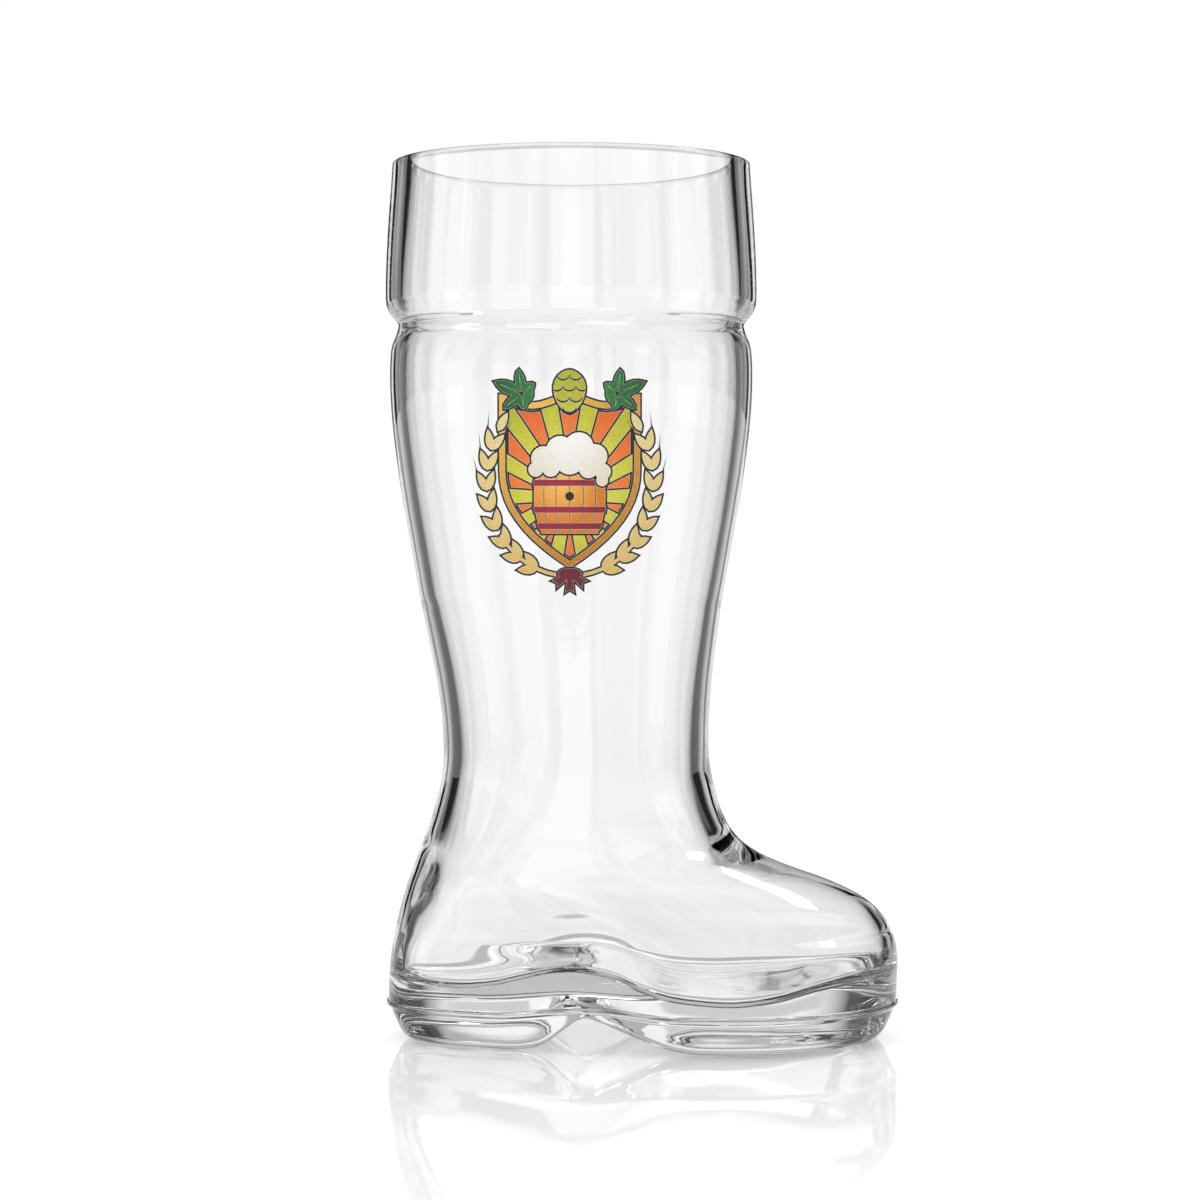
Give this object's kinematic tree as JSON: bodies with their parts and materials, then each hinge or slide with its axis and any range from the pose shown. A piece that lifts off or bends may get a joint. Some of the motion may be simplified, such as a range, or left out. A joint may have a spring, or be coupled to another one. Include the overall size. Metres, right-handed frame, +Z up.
{
  "type": "beer boot glass",
  "caption": "Boot-shaped clear drinking glass with a collar and groove under the rim, a thick sole and a colour print fired onto the front of the shaft.",
  "frame": {"origin": "on the table, under the middle of the bounding box", "axes": "+X towards the toe, +Z up to the rim, -Y out of the printed side"},
  "size_m": [0.1134, 0.0812, 0.192],
  "materials": {
    "clear_glass": "clear soda-lime glass, blown in a mould, fire-polished rim, faint mould seam round the sole",
    "ink_lime": "glossy ceramic ink, screen printed and fired onto the glass",
    "ink_orange": "glossy ceramic ink, screen printed and fired onto the glass",
    "ink_gold": "glossy ceramic ink, screen printed and fired onto the glass",
    "ink_amber": "glossy ceramic ink, screen printed and fired onto the glass",
    "ink_burgundy": "glossy ceramic ink, screen printed and fired onto the glass",
    "ink_white": "glossy ceramic ink, screen printed and fired onto the glass",
    "ink_cream": "glossy ceramic ink, screen printed and fired onto the glass",
    "ink_green": "glossy ceramic ink, screen printed and fired onto the glass",
    "ink_black": "glossy ceramic ink, screen printed and fired onto the glass"
  },
  "bodies": {
    "root": {"glass_boot": "clear_glass", "print_ground": "ink_lime", "print_rays": "ink_orange", "print_border": "ink_gold", "print_barrel": "ink_amber", "print_hoops": "ink_burgundy", "print_foam": "ink_white", "print_barley": "ink_cream", "print_leaves": "ink_green", "print_outline": "ink_black"}
  },
  "joints": []
}
